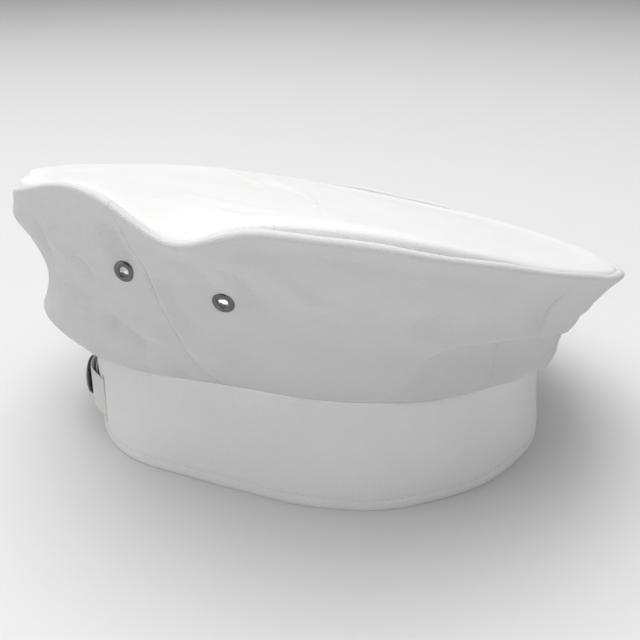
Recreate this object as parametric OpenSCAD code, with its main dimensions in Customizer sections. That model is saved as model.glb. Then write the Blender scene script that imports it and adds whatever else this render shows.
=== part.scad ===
// Low chef's toque with a wide flat crown, a soft band and a press-stud closure at the back.
// +Z is up, the face looks along -Y, the closure is at +Y, and the wearer's left is +X.
// The origin is on the floor plane under the middle of the crown. Millimetres and degrees.
// An angle round the hat is counted from +X: 90 is the back, 180 the wearer's right, 270 the front.

/* [Band] */
// Head size: the distance round the inside of the band
head_size = 565; // [550:5:585]
// Height of the band at the two sides of the head
band_h = 52; // [46:1:58]
// How much lower the band's top edge is at the front and at the back
band_arch = 8; // [0:1:12]
// Thickness of each of the band's three layers
band_layer = 1; // [0.8:0.1:1.2]

/* [Crown] */
// Diameter of the round tip
crown_d = 270; // [264:2:284]
// Average height of the rim seam above the floor
rim_h = 104; // [100:1:108]
// How far the rim rises towards the wearer's right, and falls to the left
rim_side_rise = 29; // [24:1:32]
// How far the rim rises towards the back, and falls to the front
rim_back_rise = 21; // [17:1:24]
// How far the middle of the tip stands above its rim
tip_crown = 6; // [3:1:9]
// Thickness of the crown's single layer of cloth
cloth = 1; // [0.8:0.1:1.2]

/* [Eyelets] */
// Outer diameter of an eyelet's flange
eyelet_d = 8.2; // [7.6:0.2:9]
// Diameter of the air hole
eyelet_hole_d = 3.8; // [3.4:0.2:4.2]

/* [Closure] */
// Width of the two closure straps
strap_w = 20; // [16:1:22]
// Height of the straps' middle line above the floor
strap_z = 22; // [18:1:26]
// Thickness of a strap
strap_t = 0.8; // [0.6:0.1:1]
// Diameter of the press stud's cap
cap_d = 19; // [15:1:20]
// Height of the cap above its strap
cap_h = 3.8; // [2.5:0.1:4]

/* [Hidden] */

// ---- Band outline ----
// The perimeter of this egg shape is 6.45 times its average radius.
PERIMETER_PER_RADIUS = 6.45;
band_t = 3 * band_layer;
mean_r = (head_size + 2 * PI * band_t) / PERIMETER_PER_RADIUS;
// Shares of the average radius: narrower back, oval, pinched back, flat sides
egg = [-0.055, 0.13, 0.052, 0.025];
half_length = mean_r * (1 + egg[1] + egg[3]);
BAND_STEP = 5;
BAND_SIDE_STEPS = 12;
BAND_SIDE_REACH = 10;
// The two inner layers stop this far above the band's lower edge
HEM_TURN = 0.5;

// ---- Side wall rings ----
// Each ring is [average, rise to the right, rise to the back, rise at both sides, twist of the oval]
low_r = [104, -2.5, 0.5, -7, 3];
low_z = [50, 15, 0, 7, -5];
mid_r = [117.5, -8, 6, -2, 4];
mid_z = [65, 19, 6, 10, -4];
high_r = [120.5, -2, 1.5, 1.5, 1];
high_z = [81, 22, 9.5, 11, -4];
rim_z = [rim_h, rim_side_rise, rim_back_rise, 4, 0];
// Local waves of the rim: [angle, half width, height]
rim_waves = [[141, 11, 6], [160, 8, -9], [102, 14, -6]];
// Local changes to the rings: [ring, 0 radius or 1 height, angle, half width, amount]
ring_waves = [[1, 0, 221, 14, -4], [2, 0, 221, 14, -8], [2, 0, 106, 16, 2]];
crown_r = crown_d / 2;
WALL_SPANS = 4;
WALL_STEPS = 12;
// Share of the wall next to each seam where its layers turn level
LEVEL_SHARE = 0.1;
// Shares of the wall that the tape inside the rim covers
binding_low = 0.91;
binding_high = 0.97;
BINDING_STEPS = 2;
// Rings of the tip, as shares of its radius
TIP_SHARES = [0.25, 0.5, 0.7, 0.85, 0.94, 1];
PANEL_STEP = 5;

// ---- Panel seams, from the wearer's left round the back, the right and the front ----
seam_left_back = 30;
seam_right_back = 150;
seam_right_front = 225;
seam_left_front = 310;

// ---- Eyelets: angle round the hat and share of the way up the side wall ----
eyelet_spots = [[145, 0.76], [163.5, 0.63], [35, 0.84], [16.5, 0.83]];
eyelet_flange_t = 0.5;
eyelet_wall = 0.5;
eyelet_bevel = 0.4;
eyelet_lip = 0.1;
washer_t = 0.4;
WASHER_PLAY = 0.05;
PUNCH_PLAY = 0.2;
barrel_d = eyelet_hole_d + 2 * eyelet_wall;
EYELET_GAP = 0.4;

// ---- Closure: places along the band's outline, and heights above its outer face ----
snap_angle = 90;
stud_pitch = 7;
stud_angles = [for (i = [0:2]) snap_angle - i * stud_pitch];
right_slit = 104;
left_slit = 65.2;
strap_tip = 82.5;
stud_strap_end = 97;
STRAP_STEP = 0.5;
gap = 0.2;
post_t = 0.5;
post_d = 9;
shank_d = 2.8;
stud_hole_d = 3;
plug_d = 5.2;
// Share of the cap's height that is its upright edge
cap_edge_share = 0.35;
flange_t = 0.3;
stud_d = 4;
stud_h = 1.1;
socket_d = 10;
socket_bore_d = 5.4;
socket_t = 1.3;
stud_strap_lift = gap + post_t;
stud_face = stud_strap_lift + strap_t;
STUD_PLAY = 0.1;
// The flat studs clear the curved straps by this much
CURVE_PLAY = 0.2;
socket_face = stud_face + flange_t + STUD_PLAY;
snap_strap_lift = socket_face + socket_t;
rise_end = 94.5;
stud_rise_end = 73;
slit_w = 2.4;
slit_h = strap_w + 5;
root_w = strap_w - 1;
stay_w = 9;
stay_h = slit_h + 4;
stay_t = 0.6;
label_w = 24;
label_h = 34;
label_t = 0.4;
label_z = 6;
label_angle = 45;
PATCH_STEPS = 3;

ROUND = 64;
NORMAL_STEP = 0.5;
WALL_NORMAL_STEP = 0.07;
OVERCUT = 1;
COTTON = [0.93, 0.93, 0.92];
LINING = [0.88, 0.88, 0.86];
NICKEL = [0.55, 0.55, 0.57];

// ---- Small helpers ----
function unit(v) = v / norm(v);
function mix(a, b, t) = a + (b - a) * t;
function smooth(t) = let (c = max(0, min(1, t))) c * c * (3 - 2 * c);

// ---- Band outline functions ----
function outline_r(a) =
  let (t = a - 90)
  mean_r * (1 + egg[0] * cos(t) + egg[1] * cos(2 * t) + egg[2] * cos(3 * t) + egg[3] * cos(4 * t));
function outline(a) = outline_r(a) * [cos(a), sin(a)];
function outline_normal(a) =
  let (d = outline(a + NORMAL_STEP) - outline(a - NORMAL_STEP))
  unit([d.y, -d.x]);
function outline_turn(a) = let (n = outline_normal(a)) atan2(n.y, n.x);
function lifted(a, lift) = outline(a) + lift * outline_normal(a);
function seam_height(y) = band_h - band_arch * pow(y / half_length, 2);

// ---- Side wall functions ----
function wave(ring, a) =
  ring[0] - ring[1] * cos(a) + ring[2] * sin(a) + ring[3] * cos(2 * a) + ring[4] * sin(2 * a);
function turn_between(a, b) = (a - b + 540) % 360 - 180;
function total(v, i = 0) = i == len(v) ? 0 : v[i] + total(v, i + 1);
function bell(a, center, half_width) = exp(-pow(turn_between(a, center) / half_width, 2));
function rim_wave(a) = total([for (w = rim_waves) w[2] * bell(a, w[0], w[1])]);
function ring_wave(ring, part, a) =
  total([for (w = ring_waves) if (w[0] == ring && w[1] == part) w[4] * bell(a, w[2], w[3])]);
function rim_height(a) = wave(rim_z, a) + rim_wave(a);
function ring_points(a) = [
  [outline_r(a), seam_height(outline(a).y)],
  [wave(low_r, a) + ring_wave(1, 0, a), wave(low_z, a) + ring_wave(1, 1, a)],
  [wave(mid_r, a) + ring_wave(2, 0, a), wave(mid_z, a) + ring_wave(2, 1, a)],
  [wave(high_r, a) + ring_wave(3, 0, a), wave(high_z, a) + ring_wave(3, 1, a)],
  [crown_r, rim_height(a) - cloth]
];
function through(p0, p1, p2, p3, t) =
  0.5 * (2 * p1 + (p2 - p0) * t + (2 * p0 - 5 * p1 + 4 * p2 - p3) * t * t
    + (3 * p1 - p0 - 3 * p2 + p3) * t * t * t);
function wall_profile(a, s) =
  let (
    rings = ring_points(a),
    i = max(0, min(WALL_SPANS - 1, floor(s * WALL_SPANS))),
    t = s * WALL_SPANS - i,
    before = i == 0 ? 2 * rings[0] - rings[1] : rings[i - 1],
    after = i == WALL_SPANS - 1 ? 2 * rings[WALL_SPANS] - rings[WALL_SPANS - 1] : rings[i + 2]
  )
  through(before, rings[i], rings[i + 1], after, t);
function wall_point(a, s) = let (p = wall_profile(a, s)) [p[0] * cos(a), p[0] * sin(a), p[1]];
function wall_normal(a, s) =
  unit(cross(
    wall_point(a + NORMAL_STEP, s) - wall_point(a - NORMAL_STEP, s),
    wall_point(a, min(1, s + WALL_NORMAL_STEP)) - wall_point(a, max(0, s - WALL_NORMAL_STEP))
  ));
// The layers turn level at the two seams, so that they meet the band and the tip face to face.
function inward(a, s) =
  let (edge = max(0, 1 - min(s, 1 - s) / LEVEL_SHARE))
  unit(mix(-wall_normal(a, s), [-cos(a), -sin(a), 0], edge));
function wall_layer(a, s, depth) = wall_point(a, s) + depth * inward(a, s);

// ---- Tip functions ----
// f is the share of the way from the middle of the tip to its rim
function tip_height(f, a) =
  let (oval = rim_z[3] * cos(2 * a))
  rim_h + f * (wave(rim_z, a) - rim_h - oval) + f * f * oval + pow(f, 6) * rim_wave(a)
  + tip_crown * (1 - pow(f, 4));
function tip_point(f, a, depth) = [f * crown_r * cos(a), f * crown_r * sin(a), tip_height(f, a) - depth];

// ---- Grids ----
// Closed shell between two equal grids of points, rows by columns.
// wrap joins its last column to its first. Two hubs, outer and inner, close the middle of a wrapped grid.
module grid_shell(outer, inner, wrap = false, hubs = []) {
  rows = len(outer);
  cols = len(outer[0]);
  count = rows * cols;
  last_row = rows - 1;
  last_col = cols - 1;
  top_hub = 2 * count;
  under_hub = 2 * count + 1;
  function at(i, j) = i * cols + j % cols;
  function under(i, j) = count + at(i, j);
  function quad(a, b, c, d) = [[a, b, c], [a, c, d]];
  cells = [0:wrap ? last_col : last_col - 1];
  points = concat([for (r = outer) each r], [for (r = inner) each r], hubs);
  faces = concat(
    [for (j = cells) each
      quad(at(last_row, j), under(last_row, j), under(last_row, j + 1), at(last_row, j + 1))],
    len(hubs) > 0
      ? [for (j = cells) each
          [[at(0, j), at(0, j + 1), top_hub], [under(0, j), under_hub, under(0, j + 1)]]]
      : [for (j = cells) each quad(at(0, j), at(0, j + 1), under(0, j + 1), under(0, j))],
    wrap ? [] : [for (i = [0:last_row - 1]) each
      concat(
        quad(at(i, 0), under(i, 0), under(i + 1, 0), at(i + 1, 0)),
        quad(at(i, last_col), at(i + 1, last_col), under(i + 1, last_col), under(i, last_col))
      )],
    [for (i = [0:last_row - 1], j = cells) each
      quad(at(i, j), at(i + 1, j), at(i + 1, j + 1), at(i, j + 1))],
    [for (i = [0:last_row - 1], j = cells) each
      quad(under(i, j), under(i, j + 1), under(i + 1, j + 1), under(i + 1, j))]
  );
  polyhedron(points, faces, convexity = 8);
}

// Part of the side wall, from angle a0 to a1 and share s0 to s1 of its height
module wall_piece(a0, a1, s0, s1, depth0, depth1, steps) {
  angles = [for (a = [a0:PANEL_STEP:a1]) a];
  shares = [for (i = [0:steps]) mix(s0, s1, i / steps)];
  grid_shell(
    [for (s = shares) [for (a = angles) wall_layer(a, s, depth0)]],
    [for (s = shares) [for (a = angles) wall_layer(a, s, depth1)]]
  );
}

// Moves its children on to the side wall, with their +Z along the wall's outward normal
module on_wall(spot) {
  n = wall_normal(spot[0], spot[1]);
  translate(wall_point(spot[0], spot[1]))
    rotate([0, acos(n.z), atan2(n.y, n.x)])
      children();
}

// Moves its children on to the band at the straps' height, with their +Z along its outward normal
module on_band(a, lift) {
  p = lifted(a, lift);
  translate([p.x, p.y, strap_z])
    rotate([0, 90, outline_turn(a)])
      children();
}

// ---- Crown ----
module crown_tip() {
  angles = [for (a = [360:-PANEL_STEP:PANEL_STEP]) a];
  color(COTTON)
    grid_shell(
      [for (f = TIP_SHARES) [for (a = angles) tip_point(f, a, 0)]],
      [for (f = TIP_SHARES) [for (a = angles) tip_point(f, a, cloth)]],
      wrap = true,
      hubs = [tip_point(0, 0, 0), tip_point(0, 0, cloth)]
    );
}

module side_panel(a0, a1, spots) {
  color(COTTON)
    difference() {
      wall_piece(a0, a1, 0, 1, 0, cloth, WALL_STEPS);
      for (spot = spots)
        on_wall(spot)
          cylinder(d = barrel_d + PUNCH_PLAY, h = 6 * cloth, center = true, $fn = ROUND);
    }
}

module side_panel_back() {
  side_panel(seam_left_back, seam_right_back, [eyelet_spots[0], eyelet_spots[2]]);
}

module side_panel_right() {
  side_panel(seam_right_back, seam_right_front, [eyelet_spots[1]]);
}

module side_panel_front() {
  side_panel(seam_right_front, seam_left_front, []);
}

module side_panel_left() {
  side_panel(seam_left_front, seam_left_back + 360, [eyelet_spots[3]]);
}

// Tape that covers the raw edges of the rim seam, inside the crown
module rim_binding() {
  angles = [for (a = [0:PANEL_STEP:360 - PANEL_STEP]) a];
  shares = [for (i = [0:BINDING_STEPS]) mix(binding_low, binding_high, i / BINDING_STEPS)];
  color(LINING)
    grid_shell(
      [for (s = shares) [for (a = angles) wall_layer(a, s, cloth + gap)]],
      [for (s = shares) [for (a = angles) wall_layer(a, s, 2 * cloth + gap)]],
      wrap = true
    );
}

// ---- Band ----
module band_side_view() {
  reach = half_length + BAND_SIDE_REACH;
  ys = [for (i = [BAND_SIDE_STEPS:-1:-BAND_SIDE_STEPS]) reach * i / BAND_SIDE_STEPS];
  polygon(concat([[-reach, -OVERCUT], [reach, -OVERCUT]], [for (y = ys) [y, seam_height(y)]]));
}

// One layer of the band, between two depths below its outer face
module band_layer_between(depth0, depth1, bottom) {
  angles = [for (a = [0:BAND_STEP:360 - BAND_STEP]) a];
  intersection() {
    translate([0, 0, bottom])
      linear_extrude(band_h + OVERCUT)
        difference() {
          polygon([for (a = angles) lifted(a, -depth0)]);
          polygon([for (a = angles) lifted(a, -depth1)]);
        }
    rotate([90, 0, 90])
      linear_extrude(2 * crown_r, center = true)
        band_side_view();
  }
}

module slit_cut(a) {
  on_band(a, -band_layer / 2)
    cube([slit_h, slit_w, 2 * band_layer], center = true);
}

module band_outer() {
  color(COTTON)
    difference() {
      band_layer_between(0, band_layer, 0);
      slit_cut(right_slit);
      slit_cut(left_slit);
    }
}

module band_interlining() {
  color(LINING)
    band_layer_between(band_layer, 2 * band_layer, HEM_TURN);
}

module band_facing() {
  color(LINING)
    band_layer_between(2 * band_layer, band_t, HEM_TURN);
}

// Strip that follows the band between two angles; lifts gives its inner face's height above the band
module band_strip(angles, lifts, t, z0, z1) {
  last = len(angles) - 1;
  translate([0, 0, z0])
    linear_extrude(z1 - z0)
      polygon(concat(
        [for (i = [0:last]) lifted(angles[i], lifts[i])],
        [for (i = [last:-1:0]) lifted(angles[i], lifts[i] + t)]
      ));
}

// Patch of cloth on the inside of the band
module band_patch(a, w, t, z0, z1) {
  half_turn = w / outline_r(a) * 90 / PI;
  angles = [for (i = [-PATCH_STEPS:PATCH_STEPS]) a + half_turn * i / PATCH_STEPS];
  band_strip(angles, [for (angle = angles) -band_t - gap - t], t, z0, z1);
}

module care_label() {
  color("white")
    band_patch(label_angle, label_w, label_t, label_z, label_z + label_h);
}

// ---- Closure ----
strap_low = strap_z - strap_w / 2;
strap_high = strap_z + strap_w / 2;
function snap_lift(a) =
  gap + (snap_strap_lift - gap) * smooth((right_slit - a) / (right_slit - rise_end));
function stud_lift(a) =
  gap + (stud_strap_lift - gap) * smooth((a - left_slit) / (stud_rise_end - left_slit));

// Small cloth patches that hold the edges of the two slits
module slit_stays() {
  color(LINING)
    for (a = [right_slit, left_slit])
      band_patch(a, stay_w, stay_t, strap_z - stay_h / 2, strap_z + stay_h / 2);
}

module snap_strap() {
  angles = [for (a = [right_slit:-STRAP_STEP:strap_tip]) a];
  root = lifted(right_slit, gap + strap_t / 2);
  color(COTTON)
    difference() {
      union() {
        band_strip(angles, [for (a = angles) snap_lift(a)], strap_t, strap_low, strap_high);
        translate([root.x, root.y, strap_low])
          cylinder(d = strap_t, h = strap_w, $fn = ROUND);
      }
      on_band(snap_angle, snap_strap_lift)
        cylinder(d = socket_bore_d, h = 4 * strap_t, center = true, $fn = ROUND);
    }
}

// The end of the snap strap that stays sewn in its slit
module snap_strap_root() {
  color(COTTON)
    on_band(right_slit, -band_layer / 2)
      cube([strap_w, strap_t, band_layer], center = true);
}

module stud_strap() {
  angles = [for (a = [left_slit:STRAP_STEP:stud_strap_end]) a];
  color(COTTON)
    difference() {
      union() {
        band_strip(angles, [for (a = angles) stud_lift(a)], strap_t, strap_low, strap_high);
        on_band(left_slit, -gap)
          cube([root_w, strap_t, band_layer + gap], center = true);
      }
      for (a = stud_angles)
        on_band(a, stud_strap_lift + strap_t / 2)
          cylinder(d = stud_hole_d, h = 4 * strap_t, center = true, $fn = ROUND);
    }
}

module snap_cap() {
  edge_h = cap_h * cap_edge_share;
  dome_h = cap_h - edge_h;
  dome_r = (cap_d * cap_d / 4 + dome_h * dome_h) / (2 * dome_h);
  color("black")
    on_band(snap_angle, snap_strap_lift + strap_t)
      union() {
        cylinder(d = cap_d, h = edge_h, $fn = ROUND);
        translate([0, 0, -strap_t])
          cylinder(d = plug_d, h = strap_t, $fn = ROUND);
        intersection() {
          translate([0, 0, cap_h - dome_r])
            sphere(r = dome_r, $fn = ROUND);
          translate([0, 0, edge_h])
            cylinder(d = cap_d, h = dome_h, $fn = ROUND);
        }
      }
}

module snap_socket() {
  color(NICKEL)
    on_band(snap_angle, socket_face)
      difference() {
        cylinder(d = socket_d, h = socket_t - CURVE_PLAY, $fn = ROUND);
        translate([0, 0, -OVERCUT])
          cylinder(d = socket_bore_d, h = socket_t + 2 * OVERCUT, $fn = ROUND);
      }
}

module snap_studs() {
  color(NICKEL)
    for (a = stud_angles)
      on_band(a, stud_face)
        union() {
          cylinder(d = socket_d, h = flange_t, $fn = ROUND);
          translate([0, 0, flange_t])
            cylinder(d = stud_d, h = stud_h, $fn = ROUND);
        }
}

module snap_posts() {
  color(NICKEL)
    for (a = stud_angles)
      on_band(a, gap)
        union() {
          cylinder(d = post_d, h = post_t - CURVE_PLAY, $fn = ROUND);
          cylinder(d = shank_d, h = post_t + strap_t, $fn = ROUND);
        }
}

// ---- Eyelets ----
module eyelets() {
  color(NICKEL)
    for (spot = eyelet_spots)
      on_wall(spot)
        rotate_extrude($fn = ROUND)
          polygon([
            [eyelet_hole_d / 2, -2 * cloth],
            [barrel_d / 2, -2 * cloth],
            [barrel_d / 2, EYELET_GAP],
            [eyelet_d / 2, EYELET_GAP],
            [eyelet_d / 2 - eyelet_bevel, EYELET_GAP + eyelet_flange_t],
            [barrel_d / 2, EYELET_GAP + eyelet_flange_t],
            [eyelet_hole_d / 2, EYELET_GAP + eyelet_lip]
          ]);
}

module eyelet_washers() {
  color(NICKEL)
    for (spot = eyelet_spots)
      on_wall(spot)
        translate([0, 0, -cloth - EYELET_GAP - washer_t])
          difference() {
            cylinder(d = eyelet_d, h = washer_t, $fn = ROUND);
            translate([0, 0, -OVERCUT])
              cylinder(d = barrel_d + WASHER_PLAY, h = 3 * OVERCUT, $fn = ROUND);
          }
}

crown_tip();
side_panel_back();
side_panel_right();
side_panel_front();
side_panel_left();
rim_binding();
band_outer();
band_interlining();
band_facing();
care_label();
slit_stays();
snap_strap();
snap_strap_root();
stud_strap();
snap_cap();
snap_socket();
snap_studs();
snap_posts();
eyelets();
eyelet_washers();
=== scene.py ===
import math

import bpy
import numpy as np
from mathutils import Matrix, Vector


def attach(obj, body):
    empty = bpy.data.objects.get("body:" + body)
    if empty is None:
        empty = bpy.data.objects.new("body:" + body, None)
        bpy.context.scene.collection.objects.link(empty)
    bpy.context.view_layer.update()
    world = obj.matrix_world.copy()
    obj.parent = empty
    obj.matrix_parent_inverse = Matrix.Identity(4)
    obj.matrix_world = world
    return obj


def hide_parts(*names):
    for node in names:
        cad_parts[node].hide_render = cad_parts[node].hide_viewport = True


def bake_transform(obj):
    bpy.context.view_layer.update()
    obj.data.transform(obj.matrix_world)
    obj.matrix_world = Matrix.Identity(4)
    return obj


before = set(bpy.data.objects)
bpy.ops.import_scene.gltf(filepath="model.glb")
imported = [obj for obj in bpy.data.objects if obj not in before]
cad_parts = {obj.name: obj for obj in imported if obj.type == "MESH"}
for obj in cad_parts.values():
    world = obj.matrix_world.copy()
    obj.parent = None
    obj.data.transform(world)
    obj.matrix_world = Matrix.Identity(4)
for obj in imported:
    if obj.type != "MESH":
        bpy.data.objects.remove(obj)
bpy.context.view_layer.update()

# The shape is worked out in millimetres and degrees, as in the CAD source, and turned into metres at the end.
# Angles round the hat are counted from +X: 90 is the back, 180 the wearer's right, 270 the front.
MM = 0.001
HAT = "hat"
STRAP = "strap"

# ---- Band outline, the same egg shape as the CAD model ----
HEAD_SIZE = 565.0
BAND_LAYER = 1.0
BAND_T = 3 * BAND_LAYER
PERIMETER_PER_RADIUS = 6.45
MEAN_R = (HEAD_SIZE + 2 * math.pi * BAND_T) / PERIMETER_PER_RADIUS
EGG = (-0.055, 0.13, 0.052, 0.025)
HALF_LENGTH = MEAN_R * (1 + EGG[1] + EGG[3])
BAND_H = 52.0
BAND_ARCH = 8.0

# ---- Rings of the side wall: [average, rise to the right, rise to the back, rise at both sides, twist] ----
LOW_R = (104, -2.5, 0.5, -7, 3)
LOW_Z = (50, 15, 0, 7, -5)
MID_R = (117.5, -8, 6, -2, 4)
MID_Z = (65, 19, 6, 10, -4)
HIGH_R = (120.5, -2, 1.5, 1.5, 1)
HIGH_Z = (81, 22, 9.5, 11, -4)
RIM_H = 104.0
RIM_Z = (RIM_H, 29, 21, 4, 0)
RIM_WAVES = ((141, 11, 6), (160, 8, -9), (102, 14, -6))
CROWN_R = 135.0
TIP_CROWN = 6.0
CAD_CLOTH = 1.0
WALL_SPANS = 4

# Local changes to the rings that only the cloth has: (ring, 0 radius or 1 height, angle, half width, amount)
RING_WAVES = (
    (4, 0, 104, 15, -10.5),
    (4, 1, 106, 12, 1.0),
    (3, 0, 106, 14, -0.8),
    (2, 0, 106, 16, 2.0),
    (3, 0, 253, 12, -1.0),
    (3, 1, 253, 12, 0.5),
)
# Local bulges of the wall, outwards: (angle, share, half width in degrees, half width in share, amount)
WALL_BULGES = (
    (106, 0.94, 15, 0.05, 5.5),
    (106, 0.87, 14, 0.08, 2.5),
    (163.5, 0.56, 7, 0.055, 1.5),
    (163.5, 0.71, 8, 0.06, -1.8),
    (190, 0.945, 26, 0.035, -1.6),
    (222, 0.93, 12, 0.05, -0.8),
)

CLOTH = 0.6
PANEL_SEAMS = {"back": (30, 150), "right": (150, 225), "front": (225, 310), "left": (310, 390)}
EYELET_SPOTS = ((145, 0.76), (163.5, 0.63), (35, 0.84), (16.5, 0.83))


def turn_between(a, b):
    return (a - b + 540) % 360 - 180


def bell(a, centre, width):
    return np.exp(-(turn_between(a, centre) / width) ** 2)


def smooth(t):
    t = np.clip(t, 0, 1)
    return t * t * (3 - 2 * t)


def between(a, start, end, soft):
    """1 between two values, falling to 0 over the distance soft outside them."""
    return smooth((a - start) / soft + 1) * smooth((end - a) / soft + 1)


def unit(v):
    return v / np.maximum(np.linalg.norm(v, axis=-1, keepdims=True), 1e-12)


def outline_r(a):
    t = np.radians(a - 90)
    return MEAN_R * (1 + sum(e * np.cos((i + 1) * t) for i, e in enumerate(EGG)))


def outline(a):
    r = outline_r(a)
    return np.stack([r * np.cos(np.radians(a)), r * np.sin(np.radians(a))], -1)


def outline_normal(a):
    d = outline(a + 0.5) - outline(a - 0.5)
    return unit(np.stack([d[..., 1], -d[..., 0]], -1))


def seam_height(y):
    return BAND_H - BAND_ARCH * (y / HALF_LENGTH) ** 2


def wave(ring, a):
    t = np.radians(a)
    return (ring[0] - ring[1] * np.cos(t) + ring[2] * np.sin(t)
            + ring[3] * np.cos(2 * t) + ring[4] * np.sin(2 * t))


def rim_wave(a):
    return sum(h * bell(a, c, w) for c, w, h in RIM_WAVES)


def ring_points(a):
    """The five points of the wall's profile at each angle, as (radius, height)."""
    rings = [
        [outline_r(a), seam_height(outline(a)[..., 1])],
        [wave(LOW_R, a), wave(LOW_Z, a)],
        [wave(MID_R, a), wave(MID_Z, a)],
        [wave(HIGH_R, a), wave(HIGH_Z, a)],
        [CROWN_R + 0 * a, wave(RIM_Z, a) + rim_wave(a) - CAD_CLOTH],
    ]
    for ring, part, centre, width, amount in RING_WAVES:
        rings[ring][part] = rings[ring][part] + amount * bell(a, centre, width)
    return rings


def wall_profile(a, s):
    rings = ring_points(a)
    table = np.stack([np.stack(np.broadcast_arrays(*r), -1) for r in rings], 0)
    before = 2 * table[0] - table[1]
    after = 2 * table[4] - table[3]
    table = np.concatenate([before[None], table, after[None]], 0)
    i = np.clip(np.floor(s * WALL_SPANS).astype(int), 0, WALL_SPANS - 1)
    t = (s * WALL_SPANS - i)[..., None]
    pick = lambda k: np.take_along_axis(table, (i + k)[None, ..., None].repeat(2, -1), 0)[0]
    p0, p1, p2, p3 = pick(0), pick(1), pick(2), pick(3)
    return 0.5 * (2 * p1 + (p2 - p0) * t + (2 * p0 - 5 * p1 + 4 * p2 - p3) * t ** 2
                  + (3 * p1 - p0 - 3 * p2 + p3) * t ** 3)


def level_ray(a):
    """Level unit vector outwards at each angle."""
    t = np.radians(a)
    return np.stack([np.cos(t), np.sin(t), 0 * t], -1)


def wall_base(a, s):
    p = wall_profile(a, s)
    t = np.radians(a)
    return np.stack([p[..., 0] * np.cos(t), p[..., 0] * np.sin(t), p[..., 1]], -1)


def surface_normal(point, a, s, da=0.4, ds=0.012):
    """Outward normal of a wall-like surface, by differences."""
    low, high = np.maximum(s - ds, 0), np.minimum(s + ds, 1)
    return unit(np.cross(point(a + da, s) - point(a - da, s), point(a, high) - point(a, low)))


# ---- Folds and creases of the side wall ----
# Rough size of a degree round the wall and of the wall's whole height, in mm
AROUND = 2.1
WALL_LENGTH = 82.0
# Creases: start (angle, share), end, half width in mm, depth in units of CREASE_DEPTH (negative is inwards)
CREASES = (
    ((127.0, 0.99), (120.0, 0.78), 4, -1.6),
    ((133.0, 0.97), (128.0, 0.80), 5, 1.0),
    ((121.0, 0.72), (131.0, 0.55), 3.5, 1.6),
    ((118.0, 0.62), (130.0, 0.44), 5, -1.2),
    ((131.0, 0.52), (141.0, 0.28), 6, -2.2),
    ((136.0, 0.26), (143.0, 0.12), 5, 1.6),
    ((146.0, 1.00), (146.5, 0.72), 5, -1.8),
    ((152.5, 0.86), (153.5, 0.30), 4.5, -1.3),
    ((157.0, 0.55), (159.0, 0.12), 6, 0.9),
    ((156.0, 0.90), (164.0, 0.72), 4, -1.1),
    ((165.0, 0.95), (176.0, 0.80), 6, 0.8),
    ((170.0, 0.42), (192.0, 0.46), 9, -1.0),
    ((188.0, 0.78), (214.0, 0.80), 7, 0.9),
    ((196.0, 0.62), (206.0, 0.72), 6, -1.1),
    ((216.0, 0.97), (226.0, 0.78), 6, -1.3),
    ((232.0, 0.97), (240.0, 0.80), 5, 1.1),
    ((255.0, 0.95), (262.0, 0.60), 6, -1.2),
    ((284.0, 0.90), (296.0, 0.35), 8, -1.6),
    ((318.0, 0.85), (335.0, 0.30), 8, 1.5),
    ((345.0, 0.80), (352.0, 0.20), 8, -1.4),
    ((12.0, 0.90), (24.0, 0.35), 8, 1.3),
    ((50.0, 0.85), (62.0, 0.30), 7, -1.6),
    ((70.0, 0.70), (84.0, 0.35), 7, 1.4),
    ((134.0, 0.62), (150.0, 0.34), 4, 1.1),
    ((153.5, 0.60), (160.0, 0.28), 4.5, -1.0),
    ((166.0, 0.86), (171.0, 0.56), 4, -1.1),
    ((172.0, 0.88), (182.0, 0.60), 5, 0.9),
    ((176.0, 0.70), (188.0, 0.52), 4, -0.8),
    ((128.0, 0.90), (138.0, 0.70), 3.5, -1.0),
    ((186.0, 0.22), (199.0, 0.42), 5, 0.9),
)
# Depths in mm that the creases and the ripple are multiplied by
CREASE_DEPTH = 2.1
RIPPLE_DEPTH = 1.1
RIPPLE_SEED = 4
RIPPLE_WAVES = 9
# The big fold at the right front: above this line the cloth hangs over, below it the cloth is tucked in
# The line is (angle, share), its left edge (share, angle); tuck and drop are (angle, mm), and the tuck's
# share tells how much of it is reached at each share of the wall's height.
FOLD_LINE = ((202.5, 0.45), (204.5, 0.52), (208, 0.585), (214, 0.65), (223, 0.70), (234, 0.725), (256, 0.71),
             (275, 0.66))
FOLD_EDGE = ((-0.05, 198.0), (0.05, 199.5), (0.30, 201.2), (0.50, 203.0))
TUCK = ((196, 0), (201, 3), (206, 8.0), (216, 10.5), (226, 10), (236, 6.5), (246, 2.5), (256, 1.0), (275, 0))
TUCK_SHARE = ((0, 0), (0.08, 0.14), (0.25, 0.50), (0.45, 0.92), (0.60, 1.0), (1, 1.0))
FOLD_DROP = ((198, 0), (204, 2.0), (214, 3.4), (228, 3.0), (244, 2.2), (258, 1.4), (275, 0))


def ridge(px, py, ux, uy, width, soft):
    """1 along the line from the origin to (ux, uy), falling off at both sides and over its soft ends."""
    span = math.hypot(ux, uy)
    along = (px * ux + py * uy) / span
    off = (px * uy - py * ux) / span
    inside = smooth(along / (soft * span)) * smooth((span - along) / (soft * span))
    return np.exp(-(off / width) ** 2) * inside


def crease_height(a, s):
    """Sum of all creases at each point, in units of CREASE_DEPTH along the normal."""
    total = 0 * (a + s)
    for (a0, s0), (a1, s1), width, depth in CREASES:
        px, py = turn_between(a, a0) * AROUND, (s - s0) * WALL_LENGTH
        total = total + depth * ridge(px, py, (a1 - a0) * AROUND, (s1 - s0) * WALL_LENGTH, width, 0.35)
    return total


def table_value(x, table):
    return np.interp(x, [row[0] for row in table], [row[1] for row in table])


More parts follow.
